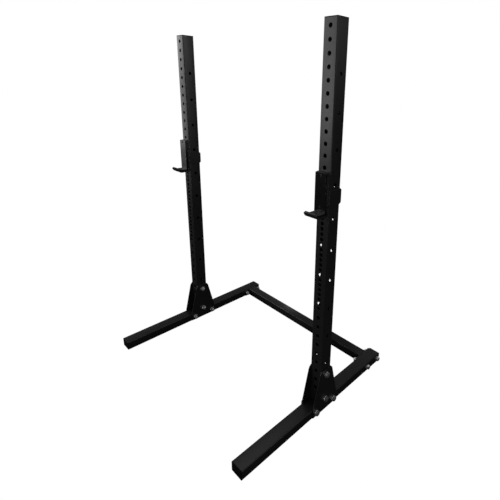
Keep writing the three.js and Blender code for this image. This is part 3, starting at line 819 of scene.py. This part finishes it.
def make_wrap():
    inside = FRAME_WIDTH / 2 + CUP_CLEARANCE
    back = inside + WRAP_THICKNESS
    slope = WRAP_SLOPE_HEIGHT / WRAP_SLOPE_LENGTH
    bend = (inside - WRAP_BEND, inside - WRAP_BEND)
    start = CUP_REAR - WRAP_LAP
    slope_start = back - WRAP_SLOPE_LENGTH
    inner = [(inside, start), (inside, slope_start), *arc(bend, WRAP_BEND, 0, math.pi / 2, CORNER_STEPS)]
    outer = [(back, start), (back, slope_start)]
    outer += arc(bend, WRAP_BEND + WRAP_THICKNESS, 0, math.pi / 2, CORNER_STEPS)
    inner.append((inside - WRAP_TAB, inside))
    outer.append((inside - WRAP_TAB, back))
    loops = []
    for near, far in zip(inner, outer):
        drop_near = slope * max(0.0, near[1] - slope_start)
        drop_far = slope * max(0.0, far[1] - slope_start)
        loops.append([(*near, WRAP_BOTTOM + drop_near), (*far, WRAP_BOTTOM + drop_far),
                      (*far, WRAP_TOP - drop_far), (*near, WRAP_TOP - drop_near)])
    return worked(lofted("jcup_wrap", (loops, False)), (), PLATE_EDGE)


def screw_profile(extra, length):
    head = SCREW * SCREW_HEAD_SHARE / 2 + extra
    depth = SCREW * SCREW_HEAD_DEPTH_SHARE + extra
    return [(-extra, head), (0, head), (depth, SCREW / 2 + extra), (length, SCREW / 2 + extra)]


def turned_y(loops):
    """Loops about X, turned to run along +Y."""
    return [[(-y, x, z) for x, y, z in loop] for loop in loops]


def screw_cutter(length, place, turn):
    loops = turned_y([ring(x, radius, ROUND_STEPS) for x, radius in screw_profile(2 * GAP, length)])
    mesh = lofted("screw_cutter", (loops, False))
    mesh.transform(Matrix.Translation(place) @ turn)
    return mesh


def make_screw(length):
    """A countersunk screw with a hexagon socket, its head's face at Y zero."""
    profile = screw_profile(0, length)
    head = profile[0][1]
    loops = [hexagon(SOCKET_DEPTH, SOCKET_APOTHEM), hexagon(0, SOCKET_APOTHEM),
             ring(0, head - SCREW_EDGE_INSET), ring(SCREW_EDGE_DROP, head)]
    loops += [ring(x, radius) for x, radius in profile[2:]]
    return sharpened(lofted("jcup_screw", (turned_y(loops), False)))


def make_back_liner():
    top, bottom = CUP_RISE - BACK_LINER_STEP, CUP_FLOOR + CUP_HEEL + GAP
    corners = [(LINER_HALF, bottom), (LINER_HALF, top), (-LINER_HALF, top), (-LINER_HALF, bottom)]
    outline = rounded_polygon(corners, LINER_CORNER)
    faces = [along_y(outline, LINER_FRONT), along_y(outline, LINER_REAR)]
    block = lofted("jcup_back_liner", (faces, False))
    cutters = [screw_cutter(BACK_LINER + GAP, (0, LINER_FRONT + SCREW_SINK, z), Matrix())
               for z in SCREW_HEIGHTS]
    return worked(block, cutters, LINER_EDGE / 2)


def make_seat_liner():
    outer, inner = CUP_LIP - GAP, CUP_LIP - GAP - SEAT_LINER
    back = LINER_FRONT - GAP
    rows = [((back, LIP_Z - inner), (back, LIP_Z - outer), LINER_HALF)]
    start = -math.pi / 2
    rows += bend_rows((LIP_Y, LIP_Z), inner, outer, start, start - SEAT_LINER_BEND, LINER_HALF)
    liner = lofted("jcup_seat_liner", (strip(rows), False))
    down = Matrix.Rotation(-math.pi / 2, 4, "X")
    cutter = screw_cutter(SEAT_LINER + GAP, (0, SEAT_SCREW_Y, SEAT_TOP - SCREW_SINK), down)
    return worked(liner, (cutter,), LINER_EDGE)


def make_pin():
    end = CUP_REAR + PIN_REACH
    profile = ((CUP_FRONT, PIN / 2 - PIN_FRONT_EDGE), (CUP_FRONT + PIN_FRONT_EDGE, PIN / 2),
               (end - PIN_CHAMFER, PIN / 2), (end, PIN / 2 - PIN_CHAMFER))
    rings = [ring(x, radius) for x, radius in profile]
    return sharpened(lofted("jcup_pin", (turned_y(rings), False)))


# Weld beads, which the CAD model leaves out

def make_bead(length, size):
    """A bead along Z with the ripples of a hand weld."""
    ripple = size * WELD_RIPPLE_SHARE
    steps = round(length / ripple) * RIPPLE_STEPS
    loops = []
    for i in range(steps + 1):
        z = length * i / steps
        end = min(1.0, WELD_END_SHARE + min(i, steps - i) / RIPPLE_STEPS)
        phase = 2 * math.pi * z / ripple
        wave = math.cos(phase + WELD_WANDER * math.sin(phase / WELD_WANDER_RIPPLES))
        radius = size * end * (WELD_MEAN_SHARE + WELD_WAVE_SHARE * wave)
        side = WELD_DRIFT_SHARE * size * math.sin(phase / WELD_DRIFT_RIPPLES)
        turns = [2 * math.pi * k / BEAD_STEPS for k in range(BEAD_STEPS)]
        loops.append([(radius * math.cos(a) + side, radius * math.sin(a) - side, z) for a in turns])
    return lofted("weld_bead", (loops, False))


def dress_cups():
    hook, wrap, pin = make_hook(), make_wrap(), make_pin()
    back_liner, seat_liner = make_back_liner(), make_seat_liner()
    back_screw = make_screw(BACK_LINER + CUP_PLATE - SCREW_END_GAP)
    seat_screw = make_screw(SEAT_LINER + CUP_PLATE - SCREW_END_GAP)
    bead = make_bead(WRAP_TOP - WRAP_BOTTOM - 2 * CUP_WELD, CUP_WELD)
    down = Matrix.Rotation(-math.pi / 2, 4, "X")
    for joint in frame["joints"]:
        side = joint["child"].split("_")[0]
        middle = centre(side + "_upright")
        home = Matrix.Translation((middle.x, middle.y, joint["pos_m"][2]))
        cup = side + "_jcup_"
        for name, mesh in (("hook", hook), ("wrap", wrap), ("pin", pin),
                           ("back_liner", back_liner), ("seat_liner", seat_liner)):
            dress(cup + name, mesh, home)
        for name, z in zip(("upper_screw", "lower_screw"), SCREW_HEIGHTS):
            dress(cup + name, back_screw, home @ Matrix.Translation((0, LINER_FRONT + SCREW_SINK, z)))
        seat_place = Matrix.Translation((0, SEAT_SCREW_Y, SEAT_TOP - SCREW_SINK))
        dress(cup + "seat_screw", seat_screw, home @ seat_place @ down)
        seam = Matrix.Translation((CUP_HALF, CUP_REAR - WRAP_LAP, WRAP_BOTTOM + CUP_WELD))
        add_piece(cup + "weld", bead, home @ seam, joint["child"], "powder_coat")


def add_cross_welds():
    low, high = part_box("cross_tube")
    bead = make_bead(high.z - low.z - 2 * TUBE_CORNER, CROSS_WELD)
    for side, x in (("right", high.x), ("left", low.x)):
        for end, y in (("front", low.y), ("rear", high.y)):
            place = Matrix.Translation((x, y, low.z + TUBE_CORNER))
            add_piece(f"{side}_cross_weld_{end}", bead, place, "stand", "powder_coat")


# Studio

def mix_by_ray(nodes, links, seen, other, output):
    """Gives an output one shader for the camera's rays and another for all the rest."""
    path = nodes.new("ShaderNodeLightPath")
    mix = nodes.new("ShaderNodeMixShader")
    links.new(path.outputs["Is Camera Ray"], mix.inputs[0])
    links.new(other.outputs[0], mix.inputs[1])
    links.new(seen.outputs[0], mix.inputs[2])
    links.new(mix.outputs[0], output.inputs["Surface"])


def add_floor():
    """A wide floor, white to the camera and dark to the light that falls on the stand."""
    bpy.ops.mesh.primitive_plane_add(size=FLOOR_SIZE)
    floor = bpy.context.object
    floor.name = "studio_floor"
    material = bpy.data.materials.new("studio_floor")
    material.use_nodes = True
    nodes, links = material.node_tree.nodes, material.node_tree.links
    nodes.clear()
    output = nodes.new("ShaderNodeOutputMaterial")
    glow = nodes.new("ShaderNodeEmission")
    dark = nodes.new("ShaderNodeBsdfDiffuse")
    dark.inputs["Color"].default_value = (FLOOR_SHADE, FLOOR_SHADE, FLOOR_SHADE, 1)
    mix_by_ray(nodes, links, glow, dark, output)
    floor.data.materials.append(material)


def add_world():
    """A background that is white to the camera and dim to all other rays."""
    world = bpy.data.worlds.new("studio")
    bpy.context.scene.world = world
    world.use_nodes = True
    nodes, links = world.node_tree.nodes, world.node_tree.links
    nodes.clear()
    output = nodes.new("ShaderNodeOutputWorld")
    white = nodes.new("ShaderNodeBackground")
    white.inputs["Color"].default_value = (1, 1, 1, 1)
    dim = nodes.new("ShaderNodeBackground")
    dim.inputs["Color"].default_value = (1, 1, 1, 1)
    dim.inputs["Strength"].default_value = WORLD_STRENGTH
    mix_by_ray(nodes, links, white, dim, output)


def add_panel(name, place, target, width, height, power):
    light = bpy.data.lights.new(name, "AREA")
    light.shape = "RECTANGLE"
    light.size, light.size_y = width, height
    light.energy = power
    panel = bpy.data.objects.new(name, light)
    bpy.context.scene.collection.objects.link(panel)
    panel.location = place
    panel.rotation_euler = (Vector(target) - Vector(place)).to_track_quat("-Z", "Y").to_euler()
    panel.visible_camera = False


def add_lights():
    """Soft panels that stand round the studio like walls, and spot panels nearer the stand."""
    for azimuth, base, power in WALL_PANELS:
        turn = math.radians(azimuth)
        middle = base + PANEL_HEIGHT / 2
        place = (WALL_DISTANCE * math.sin(turn), -WALL_DISTANCE * math.cos(turn), middle)
        add_panel(f"wall_{azimuth}_{base}", place, (0, 0, middle), PANEL_WIDTH, PANEL_HEIGHT, power)
    for azimuth, elevation, size, power in SPOT_PANELS:
        turn, rise = math.radians(azimuth), math.radians(elevation)
        level = SPOT_DISTANCE * math.cos(rise)
        height = SPOT_TARGET + SPOT_DISTANCE * math.sin(rise)
        place = (level * math.sin(turn), -level * math.cos(turn), height)
        add_panel(f"high_{azimuth}", place, (0, 0, SPOT_TARGET), size, size, power)


def add_camera():
    data = bpy.data.cameras.new("photo_camera")
    data.sensor_width = SENSOR
    data.lens = SENSOR * FOCAL_PIXELS / FRAME_PIXELS
    data.shift_x = (FRAME_PIXELS / 2 - AXIS_PIXELS[0]) / FRAME_PIXELS
    data.shift_y = (AXIS_PIXELS[1] - FRAME_PIXELS / 2) / FRAME_PIXELS
    camera = bpy.data.objects.new("photo_camera", data)
    bpy.context.scene.collection.objects.link(camera)
    level = Vector((math.cos(CAMERA_TURN), math.sin(CAMERA_TURN), 0))
    ahead = Vector((-math.sin(CAMERA_TURN) * math.cos(CAMERA_TILT),
                    math.cos(CAMERA_TURN) * math.cos(CAMERA_TILT), -math.sin(CAMERA_TILT)))
    above = level.cross(ahead)
    right = level * math.cos(CAMERA_ROLL) + above * math.sin(CAMERA_ROLL)
    up = above * math.cos(CAMERA_ROLL) - level * math.sin(CAMERA_ROLL)
    turn = Matrix((right, up, -ahead)).transposed().to_4x4()
    camera.matrix_world = Matrix.Translation(CAMERA_PLACE) @ turn
    bpy.context.scene.camera = camera


add_camera()
dress_tubes()
dress_caps()
dress_plates()
dress_fasteners()
dress_cups()
add_cross_welds()
add_floor()
add_world()
add_lights()
bpy.context.scene.view_settings.view_transform = "Standard"
